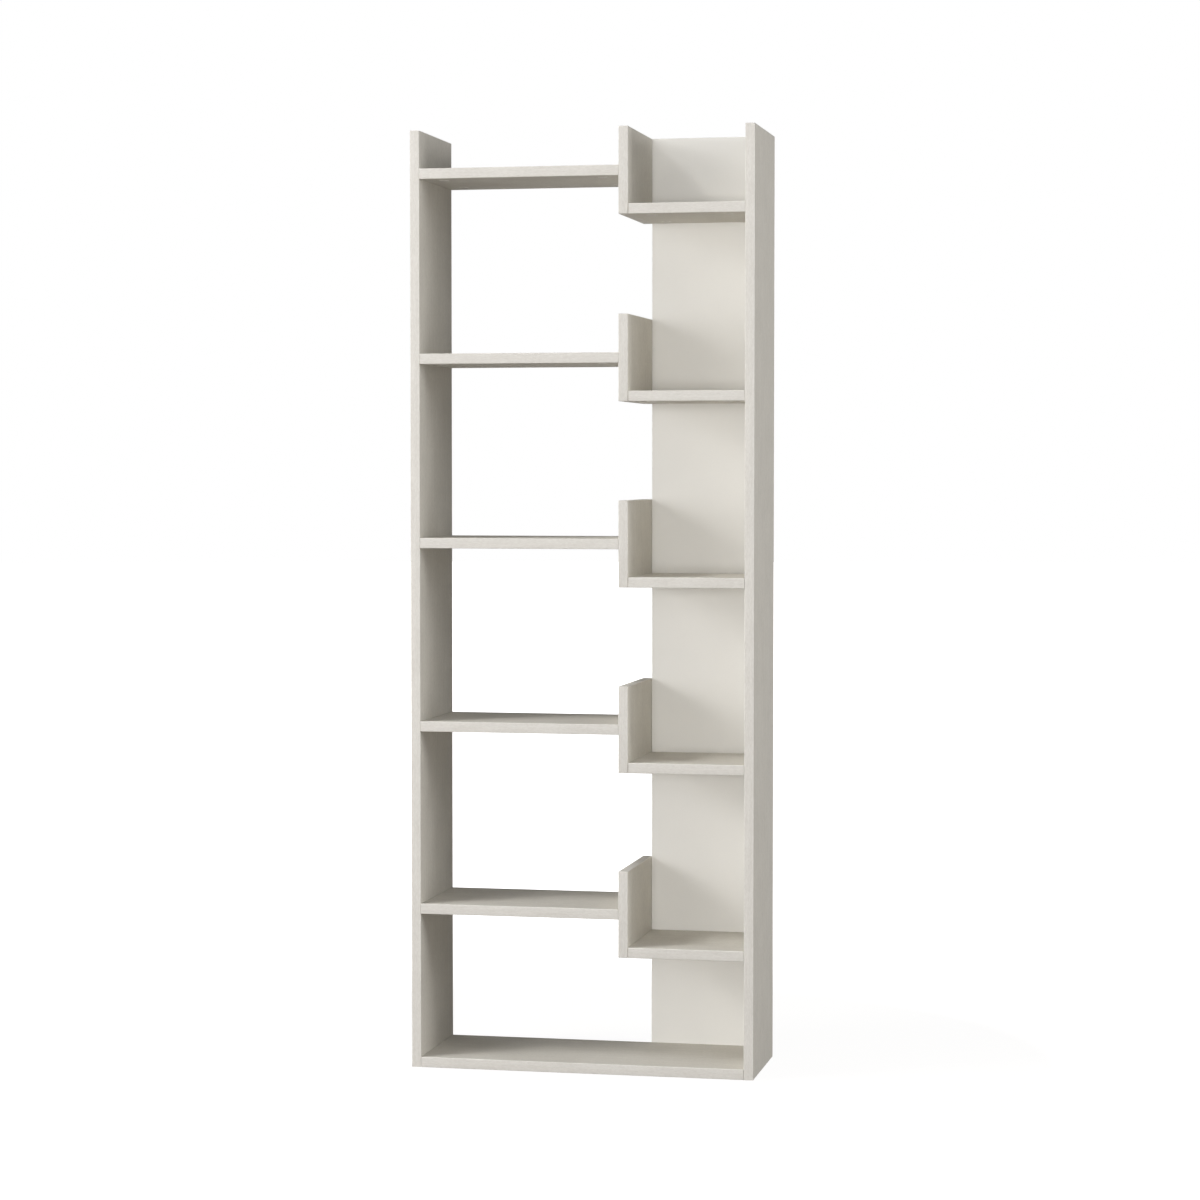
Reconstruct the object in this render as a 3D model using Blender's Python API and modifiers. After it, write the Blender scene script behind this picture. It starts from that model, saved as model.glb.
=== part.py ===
"""Tall open bookcase of cream melamine board.

A wide column of shelves stands on the left and a narrow one on the right. The two share
short dividers, which carry the wide shelf at their middle and the narrow shelf at their
foot, so the levels are staggered. A thin back panel closes the narrow column only.
The origin is on the floor, at the middle of the footprint; the front faces -Y.
"""

import math

import bmesh
import bpy
from mathutils import Matrix, Vector

# Overall depth, and the clear widths of the two columns
DEPTH = 0.224
WIDE_BAY = 0.3525
NARROW_BAY = 0.203

# Thickness of the sides and dividers, and of the boards that lie between them
UPRIGHT = 0.0165
BOARD = 0.018

# Levels: a divider stands SHELF_DROP above and below its wide shelf
LEVELS = 5
LEVEL_PITCH = 0.320
LOWEST_BAY = 0.186
SHELF_DROP = 0.066

# Back panel
PANEL = 0.004
PANEL_PLAY = 0.0005
PANEL_FLOOR_GAP = 0.002

# Edge bands and the clearance between touching pieces
BAND = 0.001
GAP = 0.0003

# Bores for the cam locks, drilled from a board's underside, and for their bolts
CAM_BORE = 0.015
CAM_SETBACK = 0.034
CAM_INSET = 0.040
CAM_REACH = 0.0045
BOLT_BORE = 0.008
BOLT_THREAD_BORE = 0.005
BOLT_THREAD = 0.0115

# Wooden dowels, one in the middle of each joint, with chamfered ends
DOWEL = 0.008
DOWEL_CHAMFER = 0.001
DOWEL_IN_UPRIGHT = 0.0105
DOWEL_IN_SHELF = 0.0195

# Countersunk screw holes through the back panel
SCREW_HEAD = 0.0066
SCREW_SHANK = 0.0036
COUNTERSINK = 0.002
SCREW_PILOT = 0.0025
SCREW_PILOT_DEPTH = 0.012
SCREW_INSET = 0.040

# Facets of the round shapes, room past a dowel's end, and overrun of a cutter
BORE_SIDES = 12
BORE_SPARE = 0.0005
OVERRUN = 0.004

# Places across the width, the depth and the height
WIDTH = WIDE_BAY + NARROW_BAY + 3 * UPRIGHT
LEFT_OUT = -WIDTH / 2
LEFT_IN = LEFT_OUT + UPRIGHT
DIVIDER_LEFT = LEFT_IN + WIDE_BAY
DIVIDER_RIGHT = DIVIDER_LEFT + UPRIGHT
RIGHT_IN = DIVIDER_RIGHT + NARROW_BAY
FRONT = -DEPTH / 2
BACK = DEPTH / 2
CORE_FRONT = FRONT + BAND + GAP
PANEL_FRONT = BACK - PANEL
SHELF_BACK = PANEL_FRONT - GAP
DIVIDER_HEIGHT = 2 * SHELF_DROP + BOARD
LOWEST_FOOT = BOARD + LOWEST_BAY
HEIGHT = LOWEST_FOOT + (LEVELS - 1) * LEVEL_PITCH + DIVIDER_HEIGHT
SHELF_MIDDLE = (FRONT + SHELF_BACK) / 2


def srgb(red, green, blue):
    """Linear colour of a screen colour given from 0 to 255."""
    return tuple(((value / 255 + 0.055) / 1.055) ** 2.4 for value in (red, green, blue)) + (1.0,)


# Finishes: colour, roughness and metallic value
BOARD_FINISH = (srgb(224, 220, 211), 0.50, 0.0)
BAND_FINISH = (srgb(228, 224, 216), 0.42, 0.0)
PANEL_FINISH = (srgb(220, 216, 208), 0.62, 0.0)
DOWEL_FINISH = (srgb(214, 178, 130), 0.70, 0.0)


def clear_scene():
    for item in list(bpy.data.objects):
        bpy.data.objects.remove(item, do_unlink=True)


def make_collection(name):
    collection = bpy.data.collections.new(name)
    bpy.context.scene.collection.children.link(collection)
    return collection


def make_material(name, finish):
    colour, roughness, metallic = finish
    material = bpy.data.materials.new(name + "_finish")
    material.use_nodes = True
    shader = material.node_tree.nodes["Principled BSDF"]
    shader.inputs["Base Color"].default_value = colour
    shader.inputs["Roughness"].default_value = roughness
    shader.inputs["Metallic"].default_value = metallic
    return material


def add_object(collection, name, mesh_data):
    """Turn a bmesh into an object of one of the two collections."""
    mesh = bpy.data.meshes.new(name)
    mesh_data.to_mesh(mesh)
    mesh_data.free()
    item = bpy.data.objects.new(name, mesh)
    collection.objects.link(item)
    return item


def add_piece(name, mesh_data, finish):
    piece = add_object(PIECES, name, mesh_data)
    piece.data.materials.append(make_material(name, finish))
    return piece


def add_cutter(name, mesh_data):
    cutter = add_object(CUTTERS, name, mesh_data)
    cutter.hide_render = True
    cutter.display_type = "WIRE"
    return cutter


def add_boolean(piece, other, operation):
    boolean = piece.modifiers.new(other.name, "BOOLEAN")
    boolean.operation = operation
    boolean.solver = "EXACT"
    boolean.object = other


def add_box(mesh_data, low, high):
    """Add a cube stretched between two corners."""
    low = Vector(low)
    high = Vector(high)
    matrix = Matrix.Translation((low + high) / 2) @ Matrix.Diagonal((*(high - low), 1.0))
    bmesh.ops.create_cube(mesh_data, size=1.0, matrix=matrix)


def add_bore(mesh_data, diameter, start, end, end_diameter=None):
    """Add a cylinder, or a cone where the end's diameter differs, between two points."""
    start = Vector(start)
    end = Vector(end)
    turn = (end - start).to_track_quat("Z", "Y").to_matrix().to_4x4()
    bmesh.ops.create_cone(
        mesh_data, cap_ends=True, segments=BORE_SIDES, radius1=diameter / 2,
        radius2=(end_diameter or diameter) / 2, depth=(end - start).length,
        matrix=Matrix.Translation((start + end) / 2) @ turn)


class Drilling:
    """The bores of every board, gathered by board while the joints are laid out."""

    def __init__(self):
        self.end_bores = {}
        self.cam_bores = {}

    def drill(self, board, diameter, start, end):
        """Bore along the board, for a dowel, a bolt or a screw."""
        add_bore(self.end_bores.setdefault(board, bmesh.new()), diameter, start, end)

    def drill_cam(self, board, start, end):
        """Bore up from the underside. It crosses a bolt's bore, so it is a cutter of its own."""
        add_bore(self.cam_bores.setdefault(board, bmesh.new()), CAM_BORE, start, end)

    def cut(self, boards):
        for suffix, bores in (("_cam_bores", self.cam_bores), ("_end_bores", self.end_bores)):
            for name, mesh_data in bores.items():
                add_boolean(boards[name], add_cutter(name + suffix, mesh_data), "DIFFERENCE")


def build_board(name, low, high):
    """One board, with its own origin at its centre."""
    low = Vector(low)
    high = Vector(high)
    centre = (low + high) / 2
    mesh_data = bmesh.new()
    add_box(mesh_data, low - centre, high - centre)
    board = add_piece(name, mesh_data, BOARD_FINISH)
    board.location = centre
    return board


def build_band(name, front_strip, end_strips=()):
    """Edge band on a front edge, which may turn over the board's ends."""
    mesh_data = bmesh.new()
    add_box(mesh_data, *front_strip)
    band = add_piece(name, mesh_data, BAND_FINISH)
    for number, strip in enumerate(end_strips):
        turned = bmesh.new()
        add_box(turned, *strip)
        add_boolean(band, add_cutter(f"{name}_turn_{number}", turned), "UNION")
    return band


def build_side(name, left):
    """Full-height side panel. Its band runs up the front edge and over the top."""
    right = left + UPRIGHT
    panel = build_board(
        name + "_panel", (left, CORE_FRONT, 0.0), (right, BACK, HEIGHT - BAND - GAP))
    build_band(
        name + "_band", ((left, FRONT, 0.0), (right, FRONT + BAND, HEIGHT)),
        [((left, FRONT, HEIGHT - BAND), (right, BACK, HEIGHT))])
    return panel


def build_shelf(name, left, right, underside):
    """Board that runs between two uprights, with a band on its front edge."""
    low = Vector((left + GAP, CORE_FRONT, underside))
    high = Vector((right - GAP, SHELF_BACK, underside + BOARD))
    board = build_board(name, low, high)
    build_band(name + "_band", ((low.x, FRONT, low.z), (high.x, FRONT + BAND, high.z)))
    return board


def build_divider(number, foot):
    """Short upright between the two columns. Its band wraps the top, front and bottom edges."""
    inset = BAND + GAP
    top = foot + DIVIDER_HEIGHT
    name = f"divider_{number}"
    board = build_board(
        name, (DIVIDER_LEFT, CORE_FRONT, foot + inset), (DIVIDER_RIGHT, BACK, top - inset))
    build_band(
        name + "_band", ((DIVIDER_LEFT, FRONT, foot), (DIVIDER_RIGHT, FRONT + BAND, top)),
        [((DIVIDER_LEFT, FRONT, top - BAND), (DIVIDER_RIGHT, BACK, top)),
         ((DIVIDER_LEFT, FRONT, foot), (DIVIDER_RIGHT, BACK, foot + BAND))])
    return board


def build_dowel(name, face, inward, height):
    """Turned dowel that crosses the joint, with its origin on the upright's face."""
    radius = DOWEL / 2
    tip = radius - DOWEL_CHAMFER
    profile = [
        (0.0, DOWEL_IN_SHELF), (tip, DOWEL_IN_SHELF), (radius, DOWEL_IN_SHELF - DOWEL_CHAMFER),
        (radius, DOWEL_CHAMFER - DOWEL_IN_UPRIGHT), (tip, -DOWEL_IN_UPRIGHT), (0.0, -DOWEL_IN_UPRIGHT)]
    outline = bmesh.new()
    points = [outline.verts.new((x, 0.0, z)) for x, z in profile]
    for upper, lower in zip(points, points[1:]):
        outline.edges.new((upper, lower))
    dowel = add_piece(name, outline, DOWEL_FINISH)
    dowel.location = (face, SHELF_MIDDLE, height)
    dowel.rotation_euler.y = inward * math.pi / 2
    turn = dowel.modifiers.new("turn", "SCREW")
    turn.axis = "Z"
    turn.steps = BORE_SIDES
    turn.render_steps = BORE_SIDES
    turn.use_merge_vertices = True
    turn.merge_threshold = 0.00001
    return dowel


def lay_joint(drilling, upright, shelf, side, face, inward, underside):
    """One dowel, and the bores of two cam locks, where a board's end meets an upright.

    face is the upright's surface, and inward is +1 or -1, the way the board runs from it.
    """
    middle = underside + BOARD / 2
    outside = face - inward * OVERRUN
    inside = face + inward * OVERRUN
    cam = face + inward * (GAP + CAM_SETBACK)
    for y in (FRONT + CAM_INSET, SHELF_BACK - CAM_INSET):
        drilling.drill_cam(shelf, (cam, y, underside - OVERRUN), (cam, y, middle + CAM_REACH))
        drilling.drill(shelf, BOLT_BORE, (outside, y, middle), (cam, y, middle))
        drilling.drill(
            upright, BOLT_THREAD_BORE, (inside, y, middle), (face - inward * BOLT_THREAD, y, middle))
    hole = DOWEL + 2 * GAP / math.cos(math.pi / BORE_SIDES)
    shelf_end = face + inward * (DOWEL_IN_SHELF + BORE_SPARE)
    upright_end = face - inward * (DOWEL_IN_UPRIGHT + BORE_SPARE)
    drilling.drill(shelf, hole, (outside, SHELF_MIDDLE, middle), (shelf_end, SHELF_MIDDLE, middle))
    drilling.drill(upright, hole, (inside, SHELF_MIDDLE, middle), (upright_end, SHELF_MIDDLE, middle))
    build_dowel(f"{shelf}_{side}_dowel", face, inward, middle)


def screw_places(underside):
    """Where the back panel is screwed to the board with this underside."""
    return [(x, underside + BOARD / 2) for x in (DIVIDER_RIGHT + SCREW_INSET, RIGHT_IN - SCREW_INSET)]


def drill_pilots(drilling, board, underside):
    for x, z in screw_places(underside):
        drilling.drill(
            board, SCREW_PILOT, (x, SHELF_BACK + OVERRUN, z), (x, SHELF_BACK - SCREW_PILOT_DEPTH, z))


def build_back_panel(undersides):
    """Thin panel let in between the dividers and the right side, screwed to the boards."""
    sheet = bmesh.new()
    add_box(
        sheet, (DIVIDER_RIGHT + PANEL_PLAY, PANEL_FRONT, PANEL_FLOOR_GAP),
        (RIGHT_IN - PANEL_PLAY, BACK, HEIGHT))
    panel = add_piece("back_panel", sheet, PANEL_FINISH)
    shanks = bmesh.new()
    countersinks = bmesh.new()
    slope = (SCREW_HEAD - SCREW_SHANK) / COUNTERSINK
    for underside in undersides:
        for x, z in screw_places(underside):
            add_bore(shanks, SCREW_SHANK, (x, PANEL_FRONT - OVERRUN, z), (x, BACK + OVERRUN, z))
            add_bore(
                countersinks, SCREW_SHANK, (x, BACK - COUNTERSINK, z), (x, BACK + OVERRUN, z),
                SCREW_HEAD + slope * OVERRUN)
    add_boolean(panel, add_cutter("back_panel_shank_holes", shanks), "DIFFERENCE")
    add_boolean(panel, add_cutter("back_panel_countersinks", countersinks), "DIFFERENCE")


def build_bookcase():
    drilling = Drilling()
    boards = {
        "left_side": build_side("left_side", LEFT_OUT),
        "right_side": build_side("right_side", RIGHT_IN),
        "base": build_shelf("base", LEFT_IN, RIGHT_IN, 0.0),
    }
    lay_joint(drilling, "left_side", "base", "left", LEFT_IN, 1, 0.0)
    lay_joint(drilling, "right_side", "base", "right", RIGHT_IN, -1, 0.0)
    drill_pilots(drilling, "base", 0.0)
    feet = []
    for number in range(1, LEVELS + 1):
        foot = LOWEST_FOOT + (LEVELS - number) * LEVEL_PITCH
        middle = foot + SHELF_DROP
        divider = f"divider_{number}"
        wide = f"wide_shelf_{number}"
        narrow = f"narrow_shelf_{number}"
        boards[divider] = build_divider(number, foot)
        boards[wide] = build_shelf(wide, LEFT_IN, DIVIDER_LEFT, middle)
        boards[narrow] = build_shelf(narrow, DIVIDER_RIGHT, RIGHT_IN, foot)
        lay_joint(drilling, "left_side", wide, "left", LEFT_IN, 1, middle)
        lay_joint(drilling, divider, wide, "right", DIVIDER_LEFT, -1, middle)
        lay_joint(drilling, divider, narrow, "left", DIVIDER_RIGHT, 1, foot)
        lay_joint(drilling, "right_side", narrow, "right", RIGHT_IN, -1, foot)
        drill_pilots(drilling, narrow, foot)
        feet.append(foot)
    build_back_panel([0.0] + feet)
    drilling.cut(boards)


clear_scene()
PIECES = make_collection("bookcase")
CUTTERS = make_collection("bookcase_cutters")
build_bookcase()
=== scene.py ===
"""The looks of the open bookcase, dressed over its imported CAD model.

Cream melamine boards with rounded edge bands, the smooth back panel of the narrow column,
and the fittings that hold them: cam locks, their bolts, cover caps and panel screws.
"""

import math

import bmesh
import bpy
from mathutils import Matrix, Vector


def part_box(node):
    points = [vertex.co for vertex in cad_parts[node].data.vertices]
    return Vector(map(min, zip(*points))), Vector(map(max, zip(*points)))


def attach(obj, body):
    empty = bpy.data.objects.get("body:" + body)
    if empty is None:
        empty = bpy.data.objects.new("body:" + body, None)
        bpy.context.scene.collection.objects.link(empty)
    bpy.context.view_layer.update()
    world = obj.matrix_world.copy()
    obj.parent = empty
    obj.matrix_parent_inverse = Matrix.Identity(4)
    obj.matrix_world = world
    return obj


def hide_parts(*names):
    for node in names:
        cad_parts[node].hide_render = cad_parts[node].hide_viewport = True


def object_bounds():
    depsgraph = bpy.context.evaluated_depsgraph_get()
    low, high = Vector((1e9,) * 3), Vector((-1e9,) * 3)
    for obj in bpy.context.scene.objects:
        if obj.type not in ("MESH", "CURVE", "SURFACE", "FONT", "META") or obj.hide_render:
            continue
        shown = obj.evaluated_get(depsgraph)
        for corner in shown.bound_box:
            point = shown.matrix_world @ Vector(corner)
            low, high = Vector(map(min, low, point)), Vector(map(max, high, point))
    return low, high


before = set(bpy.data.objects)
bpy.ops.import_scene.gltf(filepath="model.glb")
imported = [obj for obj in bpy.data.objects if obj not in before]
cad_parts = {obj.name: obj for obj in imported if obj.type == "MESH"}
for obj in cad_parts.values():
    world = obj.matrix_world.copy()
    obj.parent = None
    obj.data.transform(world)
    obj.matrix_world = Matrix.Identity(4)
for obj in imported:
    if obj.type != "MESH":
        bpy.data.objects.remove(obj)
cad_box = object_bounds()

MM = 0.001

# Boards by the way they stand, from the top level down
LEVELS = range(1, 6)
WIDE_SHELVES = [f"wide_shelf_{level}" for level in LEVELS]
NARROW_SHELVES = [f"narrow_shelf_{level}" for level in LEVELS]
DIVIDERS = [f"divider_{level}" for level in LEVELS]
LYING_BOARDS = ["base", *WIDE_SHELVES, *NARROW_SHELVES]
SIDES = ["left_side_panel", "right_side_panel"]

# Planes that the CAD model fixes, and the thickness of its lying boards
FRONT, BACK = cad_box[0].y, cad_box[1].y
FLOOR, TOP = cad_box[0].z, cad_box[1].z
PANEL_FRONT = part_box("back_panel")[0].y
CORE_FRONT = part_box("left_side_panel")[0].y
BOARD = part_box("base")[1].z - FLOOR

# Eased arrises: of a board's faces, and of its edge band outside and against the board
BOARD_EASE = 0.25 * MM
BAND_ARRIS = 1.0 * MM
BAND_EASE = 0.1 * MM
BAND_THICKNESS = CORE_FRONT - FRONT
ARRIS_STEPS = 5

# A narrow shelf's band stops short of the divider, which leaves the dark line of their joint
CORNER_JOINT = 1.0 * MM

# Cam locks, bored from a board's underside, and the caps that cover them
CAM_SETBACK = 34.3 * MM
CAM_INSET = 40.0 * MM
CAM_BORE = 15.0 * MM
CAM_BORE_DEPTH = 13.5 * MM
CAM_DIAMETER = 14.6 * MM
CAM_HEIGHT = 12.6 * MM
CAM_RECESS = 0.4 * MM
CAM_SLOT = 8.0 * MM
CAM_SLOT_WIDTH = 1.6 * MM
CAM_MOUTH = 7.4 * MM
CAP_DIAMETER = 18.0 * MM
CAP_THICKNESS = 0.8 * MM
CAP_RIM = 0.3 * MM

# Bolts between a cam lock and the upright, and dowels halfway between two bolts
BOLT_BORE = 8.0 * MM
BOLT_DIAMETER = 6.6 * MM
BOLT_THREAD = 11.0 * MM
BOLT_RIDGES = 6
DOWEL_BORE = 8.0 * MM
DOWEL_DEPTH = 20.0 * MM
DOWEL_MIDDLE = sum(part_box("base_left_dowel"), Vector()).y / 2

# Countersunk screws through the back panel
SCREW_INSET = 40.0 * MM
SCREW_HEAD = 6.6 * MM
SCREW_SHANK = 3.6 * MM
SCREW_LENGTH = 16.0 * MM
SCREW_RIDGES = 7
COUNTERSINK = 2.0 * MM

# A lock's lip as a share of its slot's width, and the slot's depth as a share of its length
LIP_SHARE = 0.25
SLOT_DEPTH_SHARE = 0.4

# Shares of a bolt's diameter: its neck's radius, its head's length, its thread's diameter
NECK_SHARE = 0.3
KNOB_SHARE = 0.4
THREAD_SHARE = 0.75

# The radius of a thread's core, as a share of the thread's diameter
CORE_SHARE = 0.36

# Radii of a screw's head and of its neck, as shares of the head's and the shank's diameter
HEAD_SHARE = 0.49
SHANK_SHARE = 0.4

# Cross recess of a screw: length and width as shares of the head, depth of the sink
CROSS_LENGTH_SHARE = 0.58
CROSS_WIDTH_SHARE = 0.14
CROSS_DEPTH_SHARE = 0.6

# Facets of the round shapes, and overrun of a cutter
ROUND_SIDES = 32
OVERRUN = 1.0 * MM

# Kinds of bore, as the bore points carry them
CAM, BOLT, DOWEL, SHANK, SINK = range(1, 6)


# Node trees

def add_node(tree, kind, links=None, **settings):
    """A node with its properties set; links gives its inputs, a value or another output."""
    node = tree.nodes.new(kind)
    for name, value in settings.items():
        setattr(node, name, value)
    for name, value in (links or {}).items():
        socket = node.inputs[name]
        if isinstance(value, bpy.types.NodeSocket):
            tree.links.new(value, socket)
        elif isinstance(value, (list, tuple)) and isinstance(value[0], bpy.types.NodeSocket):
            for output in value:
                tree.links.new(output, socket)
        else:
            socket.default_value = value
    return node


def shape_tree(name, **inputs):
    """A geometry tree with named inputs, and the node that hands them on."""
    tree = bpy.data.node_groups.new(name, "GeometryNodeTree")
    kinds = {float: "NodeSocketFloat", int: "NodeSocketInt", Vector: "NodeSocketVector"}
    tree.interface.new_socket("Geometry", in_out="INPUT", socket_type="NodeSocketGeometry")
    for label, kind in inputs.items():
        tree.interface.new_socket(label, in_out="INPUT", socket_type=kinds[kind])
    tree.interface.new_socket("Material", in_out="INPUT", socket_type="NodeSocketMaterial")
    tree.interface.new_socket("Geometry", in_out="OUTPUT", socket_type="NodeSocketGeometry")
    return tree, tree.nodes.new("NodeGroupInput").outputs


def end_tree(tree, geometry, material):
    """Real meshes and their finish come out of every tree."""
    real = add_node(tree, "GeometryNodeRealizeInstances", {"Geometry": geometry})
    finished = add_node(
        tree, "GeometryNodeSetMaterial", {"Geometry": real.outputs[0], "Material": material}
    )
    add_node(tree, "NodeGroupOutput", {"Geometry": finished.outputs[0]})


def compute(tree, operation, first, second=0.0):
    return add_node(tree, "ShaderNodeMath", {0: first, 1: second}, operation=operation).outputs[0]


def scaled(tree, value, factor):
    return compute(tree, "MULTIPLY", value, factor)


def place(tree, x=0.0, y=0.0, z=0.0):
    return add_node(tree, "ShaderNodeCombineXYZ", {"X": x, "Y": y, "Z": z}).outputs[0]


def moved(tree, geometry, offset, turn=(0.0, 0.0, 0.0)):
    links = {"Geometry": geometry, "Translation": offset, "Rotation": turn}
    return add_node(tree, "GeometryNodeTransform", links).outputs[0]


def turned(tree, sides, bottom, top, start, height):
    """A round solid with its two radii, standing on the height start."""
    cone = add_node(
        tree,
        "GeometryNodeMeshCone",
        {"Vertices": sides, "Radius Bottom": bottom, "Radius Top": top, "Depth": height},
    ).outputs["Mesh"]
    return moved(tree, cone, place(tree, z=start))


def joined(tree, *parts):
    return add_node(tree, "GeometryNodeJoinGeometry", {"Geometry": list(reversed(parts))}).outputs[0]


def cut(tree, solid, *cutters):
    links = {"Mesh 1": solid, "Mesh 2": list(cutters)}
    return add_node(
        tree, "GeometryNodeMeshBoolean", links, operation="DIFFERENCE", solver="EXACT"
    ).outputs["Mesh"]


def united(tree, *solids):
    links = {"Mesh 2": list(solids)}
    return add_node(
        tree, "GeometryNodeMeshBoolean", links, operation="UNION", solver="EXACT"
    ).outputs["Mesh"]


def point_value(tree, name, kind):
    return add_node(
        tree, "GeometryNodeInputNamedAttribute", {"Name": name}, data_type=kind
    ).outputs["Attribute"]


def faced(tree, axis_name, vector, start=None, pivot="AUTO"):
    links = {"Vector": vector}
    if start is not None:
        links["Rotation"] = start
    return add_node(
        tree, "FunctionNodeAlignRotationToVector", links, axis=axis_name, pivot_axis=pivot
    ).outputs[0]


def set_at_points(tree, points, shape):
    """Shape at every point: its Z along the point's facing, its X towards the board's end."""
    facing = faced(tree, "Z", point_value(tree, "facing", "FLOAT_VECTOR"))
    towards = faced(tree, "X", point_value(tree, "towards", "FLOAT_VECTOR"), facing, "Z")
    links = {"Points": points, "Instance": shape, "Rotation": towards}
    return add_node(tree, "GeometryNodeInstanceOnPoints", links).outputs[0]


def bore_tree():
    """Bores of one kind, drilled where the board's loose points of that kind lie."""
    tree, given = shape_tree(
        "bores", Kind=int, Mouth=float, Foot=float, Depth=float, Overrun=float, Sides=int
    )
    kind = point_value(tree, "kind", "INT")
    is_kind = add_node(
        tree, "FunctionNodeCompare", {2: kind, 3: given["Kind"]}, data_type="INT", operation="EQUAL"
    ).outputs[0]
    is_board = add_node(
        tree, "FunctionNodeCompare", {2: kind, 3: 0}, data_type="INT", operation="EQUAL"
    ).outputs[0]
    here = add_node(
        tree, "GeometryNodeSeparateGeometry", {"Geometry": given["Geometry"], "Selection": is_kind}
    )
    rest = add_node(
        tree,
        "GeometryNodeSeparateGeometry",
        {"Geometry": here.outputs["Inverted"], "Selection": is_board},
    )
    mouth = scaled(tree, given["Mouth"], 0.5)
    foot = scaled(tree, given["Foot"], 0.5)
    back = scaled(tree, given["Overrun"], -1.0)
    collar = turned(tree, given["Sides"], mouth, mouth, back, given["Overrun"])
    hole = turned(tree, given["Sides"], mouth, foot, 0.0, given["Depth"])
    drill = set_at_points(tree, here.outputs["Selection"], united(tree, collar, hole))
    drills = add_node(tree, "GeometryNodeRealizeInstances", {"Geometry": drill}).outputs[0]
    drilled = add_node(
        tree,
        "GeometryNodeStoreNamedAttribute",
        {"Geometry": cut(tree, rest.outputs["Selection"], drills), "Name": "kind", "Value": 0},
        data_type="INT",
        domain="POINT",
    ).outputs[0]
    end_tree(tree, joined(tree, drilled, rest.outputs["Inverted"]), given["Material"])
    return tree


def band_tree():
    """An edge band bent along the board's edge, with its outer arrises rounded."""
    tree, given = shape_tree(
        "edge_band", Width=float, Thickness=float, Arris=float, Ease=float, Side=Vector, Steps=int
    )
    path = add_node(tree, "GeometryNodeMeshToCurve", {"Mesh": given["Geometry"]}).outputs[0]
    bend = scaled(tree, given["Thickness"], 0.5)
    bent = add_node(
        tree,
        "GeometryNodeFilletCurve",
        {"Curve": path, "Radius": bend, "Count": given["Steps"], "Limit Radius": True},
        mode="POLY",
    ).outputs[0]
    held = add_node(
        tree, "GeometryNodeSetCurveNormal", {"Curve": bent, "Normal": given["Side"]}, mode="FREE"
    ).outputs[0]
    section = add_node(
        tree,
        "GeometryNodeCurvePrimitiveQuadrilateral",
        {"Width": given["Width"], "Height": given["Thickness"]},
    ).outputs[0]
    across = add_node(
        tree, "ShaderNodeSeparateXYZ", {0: add_node(tree, "GeometryNodeInputPosition").outputs[0]}
    ).outputs["Y"]
    inner = compute(tree, "GREATER_THAN", across, 0.0)
    radius = add_node(
        tree,
        "GeometryNodeSwitch",
        {"Switch": inner, "False": given["Arris"], "True": given["Ease"]},
        input_type="FLOAT",
    ).outputs[0]
    rounded = add_node(
        tree,
        "GeometryNodeFilletCurve",
        {"Curve": section, "Radius": radius, "Count": given["Steps"], "Limit Radius": True},
        mode="POLY",
    ).outputs[0]
    strip = add_node(
        tree,
        "GeometryNodeCurveToMesh",
        {"Curve": held, "Profile Curve": rounded, "Fill Caps": True},
    ).outputs[0]
    end_tree(tree, strip, given["Material"])
    return tree


def cap_tree():
    """Cover caps: thin discs with a chamfered rim."""
    tree, given = shape_tree("cover_caps", Diameter=float, Thickness=float, Rim=float, Sides=int)
    radius = scaled(tree, given["Diameter"], 0.5)
    straight = compute(tree, "SUBTRACT", given["Thickness"], given["Rim"])
    inner = compute(tree, "SUBTRACT", radius, given["Rim"])
    disc = turned(tree, given["Sides"], radius, radius, 0.0, straight)
    dome = turned(tree, given["Sides"], radius, inner, straight, given["Rim"])
    cap = united(tree, disc, dome)
    end_tree(tree, set_at_points(tree, given["Geometry"], cap), given["Material"])
    return tree


def cross_cutters(tree, length, width, depth, face):
    """The two slots of a cross recess, sunk from the height face."""
    size = place(tree, length, width, scaled(tree, depth, 2.0))
    slot = add_node(tree, "GeometryNodeMeshCube", {"Size": size}).outputs["Mesh"]
    along = moved(tree, slot, place(tree, z=face))
    crosswise = moved(tree, slot, place(tree, z=face), (0.0, 0.0, math.pi / 2))
    return along, crosswise


def lock_tree():
    """Cam locks: a drum with a cross recess in its face and a mouth for the bolt's head."""
    tree, given = shape_tree(
        "cam_locks",
        Diameter=float, Height=float, Recess=float, Slot=float, Slot_Width=float, Mouth=float,
        Sides=int,
    )
    radius = scaled(tree, given["Diameter"], 0.5)
    lip = scaled(tree, given["Slot_Width"], LIP_SHARE)
    top_radius = compute(tree, "SUBTRACT", radius, lip)
    body_height = compute(tree, "SUBTRACT", given["Height"], lip)
    sunk = compute(tree, "ADD", given["Height"], given["Recess"])
    bottom = scaled(tree, sunk, -1.0)
    lip_start = compute(tree, "ADD", bottom, body_height)
    body = turned(tree, given["Sides"], radius, radius, bottom, body_height)
    chamfer = turned(tree, given["Sides"], radius, top_radius, lip_start, lip)
    drum = united(tree, body, chamfer)
    face = scaled(tree, given["Recess"], -1.0)
    slot_depth = scaled(tree, given["Slot"], SLOT_DEPTH_SHARE)
    slots = cross_cutters(tree, given["Slot"], given["Slot_Width"], slot_depth, face)
    mouth_radius = scaled(tree, given["Mouth"], 0.5)
    mouth = turned(tree, given["Sides"], mouth_radius, mouth_radius, 0.0, given["Diameter"])
    mouth = moved(tree, mouth, place(tree, z=-BOARD / 2), (0.0, math.pi / 2, 0.0))
    lock = cut(tree, drum, *slots, mouth)
    end_tree(tree, set_at_points(tree, given["Geometry"], lock), given["Material"])
    return tree


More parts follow.
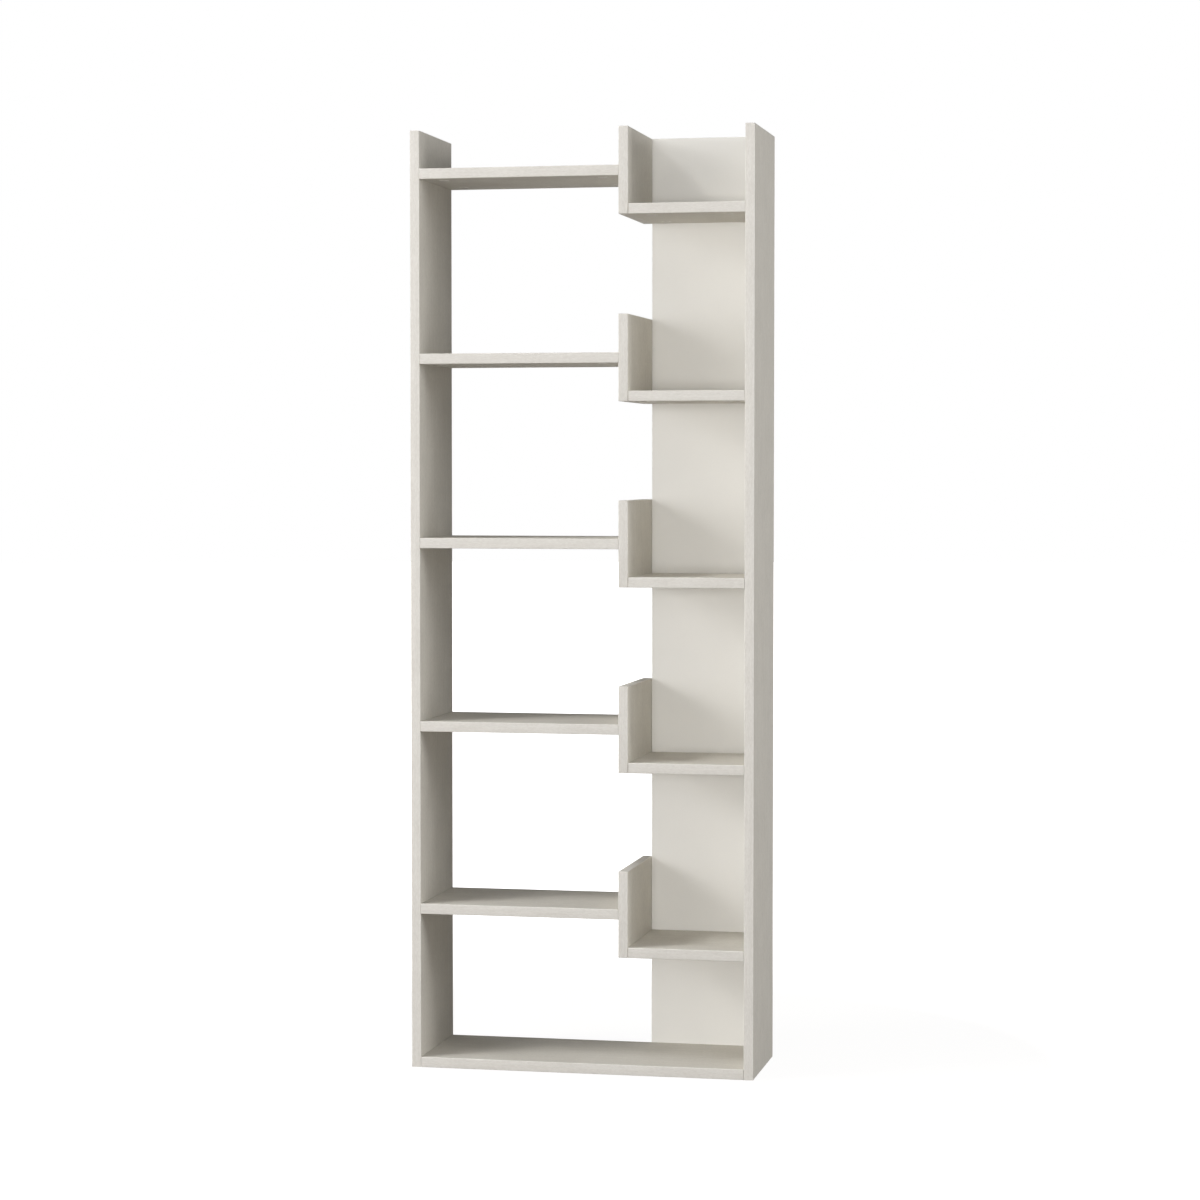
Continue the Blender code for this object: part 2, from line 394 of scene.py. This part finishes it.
def thread(tree, sides, diameter, start, length, ridges):
    """A core with sharp rings at an even pitch."""
    core_radius = scaled(tree, diameter, CORE_SHARE)
    crest_radius = scaled(tree, diameter, 0.5)
    pitch = compute(tree, "DIVIDE", length, ridges)
    core = turned(tree, sides, core_radius, core_radius, start, length)
    half = scaled(tree, pitch, 0.5)
    rising = turned(tree, sides, core_radius, crest_radius, 0.0, half)
    falling = turned(tree, sides, crest_radius, core_radius, half, half)
    line = add_node(
        tree,
        "GeometryNodeMeshLine",
        {"Count": ridges, "Start Location": place(tree, z=start), "Offset": place(tree, z=pitch)},
        mode="OFFSET",
    ).outputs[0]
    rings = add_node(
        tree,
        "GeometryNodeInstanceOnPoints",
        {"Points": line, "Instance": joined(tree, rising, falling)},
    ).outputs[0]
    return joined(tree, core, rings)


def bolt_tree():
    """Cam bolts: a thread for the upright, a collar against its face, a neck and a head."""
    tree, given = shape_tree(
        "cam_bolts", Thread=float, Neck=float, Diameter=float, Ridges=int, Sides=int
    )
    radius = scaled(tree, given["Diameter"], 0.5)
    neck_radius = scaled(tree, given["Diameter"], NECK_SHARE)
    head = scaled(tree, given["Diameter"], KNOB_SHARE)
    thread_diameter = scaled(tree, given["Diameter"], THREAD_SHARE)
    head_start = compute(tree, "SUBTRACT", given["Neck"], head)
    thread_start = scaled(tree, given["Thread"], -1.0)
    collar = turned(tree, given["Sides"], radius, radius, 0.0, head)
    neck = turned(tree, given["Sides"], neck_radius, neck_radius, 0.0, given["Neck"])
    knob = turned(tree, given["Sides"], neck_radius, radius, head_start, head)
    screwed = thread(
        tree, given["Sides"], thread_diameter, thread_start, given["Thread"], given["Ridges"]
    )
    bolt = joined(tree, collar, neck, knob, screwed)
    end_tree(tree, set_at_points(tree, given["Geometry"], bolt), given["Material"])
    return tree


def screw_tree():
    """Countersunk screws with a cross recess, their heads flush with the panel's back."""
    tree, given = shape_tree(
        "panel_screws", Head=float, Sink=float, Shank=float, Length=float, Ridges=int, Sides=int
    )
    head_radius = scaled(tree, given["Head"], HEAD_SHARE)
    shank_radius = scaled(tree, given["Shank"], SHANK_SHARE)
    sunk = scaled(tree, given["Sink"], -1.0)
    head = turned(tree, given["Sides"], shank_radius, head_radius, sunk, given["Sink"])
    slot_length = scaled(tree, given["Head"], CROSS_LENGTH_SHARE)
    slot_width = scaled(tree, given["Head"], CROSS_WIDTH_SHARE)
    slot_depth = scaled(tree, given["Sink"], CROSS_DEPTH_SHARE)
    recessed = cut(tree, head, *cross_cutters(tree, slot_length, slot_width, slot_depth, 0.0))
    bottom = scaled(tree, given["Length"], -1.0)
    run = compute(tree, "SUBTRACT", given["Length"], given["Sink"])
    screwed = thread(tree, given["Sides"], given["Shank"], bottom, run, given["Ridges"])
    screw = joined(tree, recessed, screwed)
    end_tree(tree, set_at_points(tree, given["Geometry"], screw), given["Material"])
    return tree


# Finishes

def srgb(red, green, blue):
    """Linear colour of a screen colour given from 0 to 255."""
    return tuple(((value / 255 + 0.055) / 1.055) ** 2.4 for value in (red, green, blue)) + (1.0,)


def new_finish(name):
    """A material and the shader that its nodes feed."""
    material = bpy.data.materials.new(name)
    material.use_nodes = True
    return material, material.node_tree, material.node_tree.nodes["Principled BSDF"]


def own_places(tree, scale=(1.0, 1.0, 1.0)):
    """The piece's own coordinates, scaled so that a pattern follows the board's length."""
    places = add_node(tree, "ShaderNodeTexCoord").outputs["Object"]
    return add_node(tree, "ShaderNodeMapping", {"Vector": places, "Scale": scale}).outputs[0]


def noise(tree, places, scale, detail=2.0, roughness=0.5):
    links = {"Vector": places, "Scale": scale, "Detail": detail, "Roughness": roughness}
    return add_node(tree, "ShaderNodeTexNoise", links).outputs["Fac"]


def remap(tree, value, low, high, new_low, new_high):
    links = {0: value, 1: low, 2: high, 3: new_low, 4: new_high}
    return add_node(tree, "ShaderNodeMapRange", links).outputs[0]


def spread(tree, pattern, first, last):
    """The usual range of a noise pattern, spread from the first value to the last."""
    return remap(tree, pattern, NOISE_LOW, NOISE_HIGH, first, last)


def mixture(tree, *patterns):
    """The sum of patterns, each with its weight."""
    total = 0.0
    for pattern, weight in patterns:
        total = compute(tree, "ADD", compute(tree, "MULTIPLY", pattern, weight), total)
    return total


def blend(tree, share, first, second):
    """Mix of two colours; the node's colour sockets are its inputs 6 and 7 and its output 2."""
    links = {0: share, 6: first, 7: second}
    return add_node(tree, "ShaderNodeMix", links, data_type="RGBA").outputs[2]


def set_surface(tree, shader, colour, roughness, height, strength, depth):
    """Feed the shader its colour, its roughness and its fine relief."""
    links = {"Strength": strength, "Distance": depth, "Height": height}
    bump = add_node(tree, "ShaderNodeBump", links)
    tree.links.new(colour, shader.inputs["Base Color"])
    tree.links.new(roughness, shader.inputs["Roughness"])
    tree.links.new(bump.outputs[0], shader.inputs["Normal"])


def arris_wear_and_highlight(tree):
    """1 on a rounded arris and 0 on a flat, as flats face along an axis; none on an arris that faces
    down. It carries the lighter cream of wear and of a painted highlight, which the arrises facing
    down, in shade, don't take.
    """
    normal = add_node(tree, "ShaderNodeNewGeometry").outputs["Normal"]
    parts = add_node(tree, "ShaderNodeSeparateXYZ", {0: normal}).outputs
    sizes = [compute(tree, "ABSOLUTE", part) for part in parts]
    largest = compute(tree, "MAXIMUM", compute(tree, "MAXIMUM", sizes[0], sizes[1]), sizes[2])
    rounded = remap(tree, largest, 0.80, 0.99, 1.0, 0.0)
    # Arrises that face down get no painted highlight, as they lie in shade
    highlight_facing = remap(tree, parts["Z"], -0.5, -0.1, 0.0, 1.0)
    return compute(tree, "MULTIPLY", rounded, highlight_facing)


# Colours of the light and the dark parts of each pattern
BOARD_LIGHT, BOARD_DARK = srgb(227, 223, 214), srgb(208, 204, 195)
BAND_LIGHT, BAND_DARK = srgb(225, 222, 216), srgb(210, 206, 199)
# Lighter cream on the arrises: partly wear, partly a painted highlight of the light the rounded
# arrises catch
CREAM_WEAR_AND_HIGHLIGHT = srgb(250, 247, 241)
PANEL_LIGHT, PANEL_DARK = srgb(236, 234, 229), srgb(233, 231, 226)
ZINC_LIGHT, ZINC_DARK = srgb(196, 198, 200), srgb(158, 160, 163)
STEEL_LIGHT, STEEL_DARK = srgb(206, 204, 198), srgb(170, 169, 165)
BEECH_LIGHT, BEECH_DARK, BEECH_RAY = srgb(222, 188, 142), srgb(196, 158, 112), srgb(160, 118, 78)

# Roughness from the dark to the light parts of each pattern, and the low gloss of matt cream
BOARD_ROUGHNESS = 0.78, 0.68
BAND_ROUGHNESS = 0.74, 0.62
PANEL_ROUGHNESS = 0.8, 0.72
ZINC_ROUGHNESS = 0.5, 0.34
STEEL_ROUGHNESS = 0.4, 0.22
BEECH_ROUGHNESS = 0.75, 0.6
MATT_GLOSS = 0.08

# Grain of the melamine: strokes and streaks stretched along the board, and soft clouds
STROKE_STRETCH, STREAK_STRETCH = 0.28, 0.04
STROKE_SCALE, STREAK_SCALE, CLOUD_SCALE = 620.0, 260.0, 22.0
STROKE_WEIGHT, STREAK_WEIGHT, CLOUD_WEIGHT = 0.56, 0.24, 0.20

# Rubbed patches on the arrises, whose lighter cream is partly wear and partly a painted highlight
SCUFF_SCALE = 60.0
SCUFF_LOW, SCUFF_HIGH = 0.42, 0.62
WEAR_AND_HIGHLIGHT_LEAST, WEAR_AND_HIGHLIGHT_MOST = 0.4, 0.9

# Scales of the other patterns: paint and mesh of the panel, plating, and the grain of beech
PEEL_SCALE, PANEL_CLOUD_SCALE, WEAVE_SCALE = 380.0, 9.0, 240.0
PLATING_SCALE, SPECK_SCALE = 180.0, 1500.0
GRAIN_SCALE, RAY_SCALE = 900.0, 1600.0

# Range that most of a noise pattern keeps within
NOISE_LOW, NOISE_HIGH = 0.3, 0.7


def melamine(name, along, light, dark, roughness):
    """Cream melamine with a fine grain of short strokes along the board's length, and a lighter
    cream on its arrises that is partly wear and partly a painted highlight.
    """
    material, tree, shader = new_finish(name)
    strokes, streaks = [
        [stretch if axis == along else 1.0 for axis in range(3)]
        for stretch in (STROKE_STRETCH, STREAK_STRETCH)
    ]
    stroke = noise(tree, own_places(tree, strokes), STROKE_SCALE)
    streak = noise(tree, own_places(tree, streaks), STREAK_SCALE, 1.0)
    cloud = noise(tree, own_places(tree), CLOUD_SCALE)
    tone = mixture(tree, (stroke, STROKE_WEIGHT), (streak, STREAK_WEIGHT), (cloud, CLOUD_WEIGHT))
    cream = blend(tree, spread(tree, tone, 0.0, 1.0), dark, light)
    # Lighter cream on the arrises: rubbed patches of wear and a painted highlight, none on arrises
    # facing down
    scuff = noise(tree, own_places(tree), SCUFF_SCALE, 3.0, 0.65)
    wear_and_highlight_patch = remap(tree, scuff, SCUFF_LOW, SCUFF_HIGH, WEAR_AND_HIGHLIGHT_LEAST, WEAR_AND_HIGHLIGHT_MOST)
    wear_and_highlight = compute(tree, "MULTIPLY", arris_wear_and_highlight(tree), wear_and_highlight_patch)
    colour = blend(tree, wear_and_highlight, cream, CREAM_WEAR_AND_HIGHLIGHT)
    rough = spread(tree, tone, *roughness)
    set_surface(tree, shader, colour, rough, tone, strength=0.25, depth=0.05 * MM)
    shader.inputs["Specular IOR Level"].default_value = MATT_GLOSS
    return material


def painted_panel():
    """Smooth paint over hardboard: the front even, the back with the board's fine mesh."""
    material, tree, shader = new_finish("painted_hardboard")
    places = own_places(tree)
    peel = noise(tree, places, PEEL_SCALE)
    cloud = noise(tree, places, PANEL_CLOUD_SCALE)
    tone = mixture(tree, (peel, 0.3), (cloud, 0.7))
    colour = blend(tree, spread(tree, tone, 0.0, 1.0), PANEL_DARK, PANEL_LIGHT)
    normal = add_node(tree, "ShaderNodeNewGeometry").outputs["Normal"]
    backward = add_node(tree, "ShaderNodeSeparateXYZ", {0: normal}).outputs["Y"]
    rear = remap(tree, backward, 0.4, 0.6, 0.0, 1.0)
    weave = [
        add_node(
            tree, "ShaderNodeTexWave", {"Vector": places, "Scale": WEAVE_SCALE, "Distortion": 0.6},
            bands_direction=direction,
        ).outputs["Fac"]
        for direction in "XZ"
    ]
    mesh_height = compute(tree, "MULTIPLY", compute(tree, "MULTIPLY", weave[0], weave[1]), rear)
    height = compute(tree, "ADD", mesh_height, scaled(tree, peel, 0.4))
    rough = spread(tree, tone, *PANEL_ROUGHNESS)
    set_surface(tree, shader, colour, rough, height, strength=0.3, depth=0.1 * MM)
    shader.inputs["Specular IOR Level"].default_value = MATT_GLOSS
    return material


def metal(name, light, dark, roughness):
    """Plated steel or cast zinc: cloudy plating with fine specks."""
    material, tree, shader = new_finish(name)
    places = own_places(tree)
    cloud = noise(tree, places, PLATING_SCALE, 3.0)
    speck = noise(tree, places, SPECK_SCALE, 1.0)
    tone = mixture(tree, (cloud, 0.7), (speck, 0.3))
    colour = blend(tree, spread(tree, tone, 0.0, 1.0), dark, light)
    rough = spread(tree, tone, *roughness)
    set_surface(tree, shader, colour, rough, speck, strength=0.2, depth=0.05 * MM)
    shader.inputs["Metallic"].default_value = 1.0
    return material


def beech():
    """Turned beech: fine grain along the dowel, with short dark rays."""
    material, tree, shader = new_finish("turned_beech")
    grain = noise(tree, own_places(tree, (0.06, 1.0, 1.0)), GRAIN_SCALE, 3.0)
    ray = noise(tree, own_places(tree, (0.3, 1.0, 1.0)), RAY_SCALE, 1.0)
    wood = blend(tree, spread(tree, grain, 0.0, 1.0), BEECH_DARK, BEECH_LIGHT)
    colour = blend(tree, remap(tree, ray, 0.62, 0.70, 0.0, 0.6), wood, BEECH_RAY)
    rough = spread(tree, grain, *BEECH_ROUGHNESS)
    set_surface(tree, shader, colour, rough, grain, strength=0.3, depth=0.1 * MM)
    return material


X_AXIS, Z_AXIS = 0, 2
SHELF_MELAMINE = melamine("melamine_lying", X_AXIS, BOARD_LIGHT, BOARD_DARK, BOARD_ROUGHNESS)
UPRIGHT_MELAMINE = melamine("melamine_upright", Z_AXIS, BOARD_LIGHT, BOARD_DARK, BOARD_ROUGHNESS)
SHELF_BAND = melamine("edge_band_lying", X_AXIS, BAND_LIGHT, BAND_DARK, BAND_ROUGHNESS)
UPRIGHT_BAND = melamine("edge_band_upright", Z_AXIS, BAND_LIGHT, BAND_DARK, BAND_ROUGHNESS)
PANEL_PAINT = painted_panel()
CAST_ZINC = metal("cast_zinc", ZINC_LIGHT, ZINC_DARK, ZINC_ROUGHNESS)
PLATED_STEEL = metal("plated_steel", STEEL_LIGHT, STEEL_DARK, STEEL_ROUGHNESS)
BEECH = beech()


# Pieces

def run_tree(piece, tree, **values):
    """Add the tree as a modifier, with its inputs set by the sockets' identifiers."""
    modifier = piece.modifiers.new(tree.name, "NODES")
    modifier.node_group = tree
    for item in tree.interface.items_tree:
        if item.in_out == "INPUT" and item.name in values:
            modifier[item.identifier] = values[item.name]


def settle(piece):
    """Make the result of the piece's modifiers its plain mesh."""
    done = piece.evaluated_get(bpy.context.evaluated_depsgraph_get())
    mesh = bpy.data.meshes.new_from_object(done)
    piece.modifiers.clear()
    piece.data = mesh


def new_piece(name, mesh_data):
    mesh = bpy.data.meshes.new(name)
    mesh_data.to_mesh(mesh)
    mesh_data.free()
    piece = bpy.data.objects.new(name, mesh)
    bpy.context.scene.collection.objects.link(piece)
    return piece


def add_points(mesh_data, points):
    """Loose points that carry the kind of fitting or bore, its facing and the end it serves."""
    kinds = mesh_data.verts.layers.int.new("kind")
    facings = mesh_data.verts.layers.float_vector.new("facing")
    ends = mesh_data.verts.layers.float_vector.new("towards")
    for kind, position, facing, towards in points:
        point = mesh_data.verts.new(position)
        point[kinds] = kind
        point[facings] = facing
        point[ends] = towards


def finish(piece, slot, *nodes):
    """Ride on the body and stand for the nodes; the slot is not used."""
    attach(piece, "root")
    if nodes:
        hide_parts(*nodes)


UP, DOWN = Vector((0, 0, 1)), Vector((0, 0, -1))
LEFTWARD, RIGHTWARD = Vector((-1, 0, 0)), Vector((1, 0, 0))
BACKWARD, FORWARD = Vector((0, 1, 0)), Vector((0, -1, 0))


def ends_of(board):
    """The two ends of a lying board: its end face and the way to the upright there."""
    low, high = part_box(board)
    return (low.x, LEFTWARD), (high.x, RIGHTWARD)


def rows_of(board):
    """Where the cam locks and bolts lie across the depth of a lying board."""
    return FRONT + CAM_INSET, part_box(board)[1].y - CAM_INSET


def lying_bores(board):
    low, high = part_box(board)
    middle = (low.z + high.z) / 2
    for end, way in ends_of(board):
        for row in rows_of(board):
            yield CAM, Vector((end, row, low.z)) - way * CAM_SETBACK, UP, way
            yield BOLT, Vector((end, row, middle)), -way, UP
        yield DOWEL, Vector((end, DOWEL_MIDDLE, middle)), -way, UP


def panel_holes():
    """Screws into the back edges of the base and of every narrow shelf."""
    heights = [FLOOR + BOARD / 2]
    heights += [sum(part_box(shelf), Vector()).z / 2 for shelf in NARROW_SHELVES]
    left, right = [end for end, way in ends_of("narrow_shelf_1")]
    return [Vector((x, BACK, z)) for z in heights for x in (left + SCREW_INSET, right - SCREW_INSET)]


def eased_box(low, high, ease):
    mesh_data = bmesh.new()
    bmesh.ops.create_cube(mesh_data, size=1.0)
    for corner in mesh_data.verts:
        corner.co = [high[i] if corner.co[i] > 0 else low[i] for i in range(3)]
    bmesh.ops.bevel(
        mesh_data, geom=mesh_data.edges[:], offset=ease, segments=2, profile=0.5, affect="EDGES"
    )
    return mesh_data


BORES = bore_tree()


def bore(piece, kind, mouth, foot, depth, material):
    run_tree(
        piece, BORES, Kind=kind, Mouth=mouth, Foot=foot, Depth=depth, Overrun=OVERRUN,
        Sides=ROUND_SIDES, Material=material,
    )


def make_board(node, name, material, bores=()):
    """A board with eased arrises, with its bores for the fittings."""
    bores = list(bores)
    mesh_data = eased_box(*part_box(node), BOARD_EASE)
    add_points(mesh_data, bores)
    piece = new_piece(name, mesh_data)
    piece.data.materials.append(material)
    if bores:
        bore(piece, CAM, CAM_BORE, CAM_BORE, CAM_BORE_DEPTH, material)
        bore(piece, BOLT, BOLT_BORE, BOLT_BORE, CAM_SETBACK, material)
        bore(piece, DOWEL, DOWEL_BORE, DOWEL_BORE, DOWEL_DEPTH, material)
        settle(piece)
    finish(piece, "cream_melamine", node)


for side in SIDES:
    make_board(side, side.replace("_panel", "_board"), UPRIGHT_MELAMINE)
for divider in DIVIDERS:
    make_board(divider, divider + "_board", UPRIGHT_MELAMINE)
for board in LYING_BOARDS:
    make_board(board, board + "_board", SHELF_MELAMINE, lying_bores(board))


BANDS = band_tree()


def make_band(node, name, corners, width, side, material):
    """A band along its path, on the middle of the band's thickness."""
    path = bmesh.new()
    points = [path.verts.new(corner) for corner in corners]
    for start, end in zip(points, points[1:]):
        path.edges.new((start, end))
    piece = new_piece(name, path)
    run_tree(
        piece, BANDS, Width=width, Thickness=BAND_THICKNESS, Arris=BAND_ARRIS, Ease=BAND_EASE,
        Side=side, Steps=ARRIS_STEPS, Material=material,
    )
    settle(piece)
    finish(piece, "cream_edge_band", node)


def make_bands():
    half = BAND_THICKNESS / 2
    front = FRONT + half
    for side in SIDES:
        low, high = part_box(side)
        middle = (low.x + high.x) / 2
        corners = [(middle, front, FLOOR), (middle, front, TOP - half), (middle, BACK, TOP - half)]
        stem = side.replace("_panel", "")
        width = high.x - low.x
        make_band(stem + "_band", stem + "_edge", corners, width, RIGHTWARD, UPRIGHT_BAND)
    for divider in DIVIDERS:
        low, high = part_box(divider + "_band")
        middle = (low.x + high.x) / 2
        corners = [
            (middle, high.y, low.z + half),
            (middle, front, low.z + half),
            (middle, front, high.z - half),
            (middle, high.y, high.z - half),
        ]
        width = high.x - low.x
        make_band(divider + "_band", divider + "_edge", corners, width, RIGHTWARD, UPRIGHT_BAND)
    for board in LYING_BOARDS:
        low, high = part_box(board + "_band")
        middle = (low.z + high.z) / 2
        left = low.x + (CORNER_JOINT if board in NARROW_SHELVES else 0.0)
        corners = [(high.x, front, middle), (left, front, middle)]
        width = high.z - low.z
        make_band(board + "_band", board + "_edge", corners, width, UP, SHELF_BAND)


make_bands()


def make_panel():
    mesh_data = eased_box(*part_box("back_panel"), BOARD_EASE)
    holes = [(kind, hole, FORWARD, UP) for kind in (SHANK, SINK) for hole in panel_holes()]
    add_points(mesh_data, holes)
    piece = new_piece("back_panel_sheet", mesh_data)
    piece.data.materials.append(PANEL_PAINT)
    thickness = BACK - PANEL_FRONT + OVERRUN
    bore(piece, SHANK, SCREW_SHANK, SCREW_SHANK, thickness, PANEL_PAINT)
    bore(piece, SINK, SCREW_HEAD, SCREW_SHANK, COUNTERSINK, PANEL_PAINT)
    settle(piece)
    finish(piece, "painted_hardboard", "back_panel")


make_panel()


def make_fittings(name, tree, points, slot, **values):
    """All the fittings of one kind in a single mesh, one at each point."""
    mesh_data = bmesh.new()
    add_points(mesh_data, points)
    piece = new_piece(name, mesh_data)
    run_tree(piece, tree, Sides=ROUND_SIDES, **values)
    settle(piece)
    finish(piece, slot)


def all_bores():
    return [hole for board in LYING_BOARDS for hole in lying_bores(board)]


LOCKS = [(CAM, position, DOWN, way) for kind, position, facing, way in all_bores() if kind == CAM]
CAPS = [lock for lock in LOCKS if lock[1].z > FLOOR + BOARD]
BOLTS = [(BOLT, position, facing, UP) for kind, position, facing, way in all_bores() if kind == BOLT]
SCREWS = [(SHANK, hole, BACKWARD, UP) for hole in panel_holes()]

make_fittings(
    "cam_locks", lock_tree(), LOCKS, None, Diameter=CAM_DIAMETER, Height=CAM_HEIGHT,
    Recess=CAM_RECESS, Slot=CAM_SLOT, Slot_Width=CAM_SLOT_WIDTH, Mouth=CAM_MOUTH,
    Material=CAST_ZINC,
)
make_fittings(
    "cam_bolts", bolt_tree(), BOLTS, None, Thread=BOLT_THREAD, Neck=CAM_SETBACK,
    Diameter=BOLT_DIAMETER, Ridges=BOLT_RIDGES, Material=PLATED_STEEL,
)
make_fittings(
    "cover_caps", cap_tree(), CAPS, "cream_edge_band", Diameter=CAP_DIAMETER,
    Thickness=CAP_THICKNESS, Rim=CAP_RIM, Material=SHELF_BAND,
)
make_fittings(
    "panel_screws", screw_tree(), SCREWS, None, Head=SCREW_HEAD, Sink=COUNTERSINK,
    Shank=SCREW_SHANK, Length=SCREW_LENGTH, Ridges=SCREW_RIDGES, Material=PLATED_STEEL,
)

for node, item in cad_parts.items():
    if node.endswith("_dowel"):
        item.data.materials.clear()
        item.data.materials.append(BEECH)


# Floor, light and camera

# The floor, a little below the bookcase, and how far and how strongly it keeps the shadow
FLOOR_RADIUS = 30.0
FLOOR_DROP = 0.2 * MM
FLOOR_COLOUR = srgb(130, 124, 118)
FLOOR_WHITE = 1.58
SHADOW_RADIUS = 1.6
SHADOW_SHARE = 0.4

# Even light from all round
AMBIENT = 0.05

# Softboxes: the point they face, their two usual distances and their two usual sizes
MIDDLE = Vector((0.0, 0.0, 0.85))
FAR, NEAR = 10.0, 3.6
LARGE, SMALL = 2.2, 1.4


def seen_share(tree):
    """1 for rays from the camera or by way of a shiny or clear surface, 0 for the light itself."""
    rays = add_node(tree, "ShaderNodeLightPath").outputs
    direct = compute(tree, "MAXIMUM", rays["Is Camera Ray"], rays["Is Glossy Ray"])
    return compute(tree, "MAXIMUM", direct, rays["Is Transmission Ray"])


def make_floor():
    """A pale floor that keeps the bookcase's shadow and runs out to plain white."""
    mesh_data = bmesh.new()
    bmesh.ops.create_circle(mesh_data, cap_ends=True, radius=FLOOR_RADIUS, segments=64)
    bmesh.ops.translate(mesh_data, verts=mesh_data.verts[:], vec=(0, 0, FLOOR - FLOOR_DROP))
    floor = new_piece("studio_floor", mesh_data)
    material, tree, shader = new_finish("studio_white")
    shader.inputs["Base Color"].default_value = FLOOR_COLOUR
    shader.inputs["Roughness"].default_value = 0.9
    shader.inputs["Specular IOR Level"].default_value = 0.1
    white = add_node(tree, "ShaderNodeEmission", {"Color": (1, 1, 1, 1), "Strength": FLOOR_WHITE})
    places = add_node(tree, "ShaderNodeTexCoord").outputs["Object"]
    reach = add_node(tree, "ShaderNodeVectorMath", {0: places}, operation="LENGTH").outputs["Value"]
    fade = remap(tree, reach, 0.5 * SHADOW_RADIUS, SHADOW_RADIUS, 1.0 - SHADOW_SHARE, 1.0)
    seen = compute(tree, "MULTIPLY", seen_share(tree), fade)
    mix = add_node(
        tree, "ShaderNodeMixShader", {0: seen, 1: shader.outputs[0], 2: white.outputs[0]}
    )
    tree.links.new(mix.outputs[0], tree.nodes["Material Output"].inputs["Surface"])
    floor.data.materials.append(material)


make_floor()


def make_world():
    world = bpy.data.worlds.new("studio")
    bpy.context.scene.world = world
    world.use_nodes = True
    tree = world.node_tree
    tree.nodes.clear()
    ambient = add_node(tree, "ShaderNodeBackground", {"Color": (1, 1, 1, 1), "Strength": AMBIENT})
    white = add_node(tree, "ShaderNodeBackground", {"Color": (1, 1, 1, 1), "Strength": 1.0})
    links = {0: seen_share(tree), 1: ambient.outputs[0], 2: white.outputs[0]}
    mix = add_node(tree, "ShaderNodeMixShader", links)
    add_node(tree, "ShaderNodeOutputWorld", {"Surface": mix.outputs[0]})


make_world()


def add_softbox(name, azimuth, elevation, distance, size, power):
    """A softbox that faces the bookcase: azimuth from the front towards the right, in degrees."""
    across, up = math.radians(azimuth), math.radians(elevation)
    way = Vector((math.sin(across) * math.cos(up), -math.cos(across) * math.cos(up), math.sin(up)))
    lamp = bpy.data.lights.new(name, "AREA")
    lamp.shape = "SQUARE"
    lamp.size = size
    lamp.energy = power
    item = bpy.data.objects.new(name, lamp)
    item.location = MIDDLE + distance * way
    item.rotation_euler = (-way).to_track_quat("-Z", "Y").to_euler()
    bpy.context.scene.collection.objects.link(item)


add_softbox("front_softbox", 4, 0, FAR, LARGE, 400)
add_softbox("front_high_softbox", 0, 50, 3.0, 1.6, 5)
add_softbox("key_softbox", -60, 45, FAR, LARGE, 292)
add_softbox("second_key_softbox", -40, 18, FAR, LARGE, 132)
add_softbox("left_softbox", -60, 18, NEAR, SMALL, 25)
add_softbox("left_low_softbox", -50, 5, NEAR, SMALL, 24)
add_softbox("right_softbox", 65, 18, NEAR, SMALL, 20)
add_softbox("right_far_softbox", 85, 5, FAR, LARGE, 302)
add_softbox("back_softbox", -120, 0, NEAR, 1.0, 25)
add_softbox("rear_softbox", 180, 0, FAR, LARGE, 70)

# Camera: places found from the photograph, in the part's own frame
CAMERA_PLACE = (1.1224, -5.3206, 1.0453)
CAMERA_YAW = 0.20591
CAMERA_PITCH = 0.04184
CAMERA_LENS = 92.81
SENSOR = 36.0


def make_camera():
    camera = bpy.data.cameras.new("front_view")
    camera.sensor_width = SENSOR
    camera.lens = CAMERA_LENS
    item = bpy.data.objects.new("front_view", camera)
    item.location = CAMERA_PLACE
    item.rotation_euler = (math.pi / 2 - CAMERA_PITCH, 0.0, CAMERA_YAW)
    bpy.context.scene.collection.objects.link(item)
    bpy.context.scene.camera = item


make_camera()
bpy.context.scene.view_settings.view_transform = "Standard"
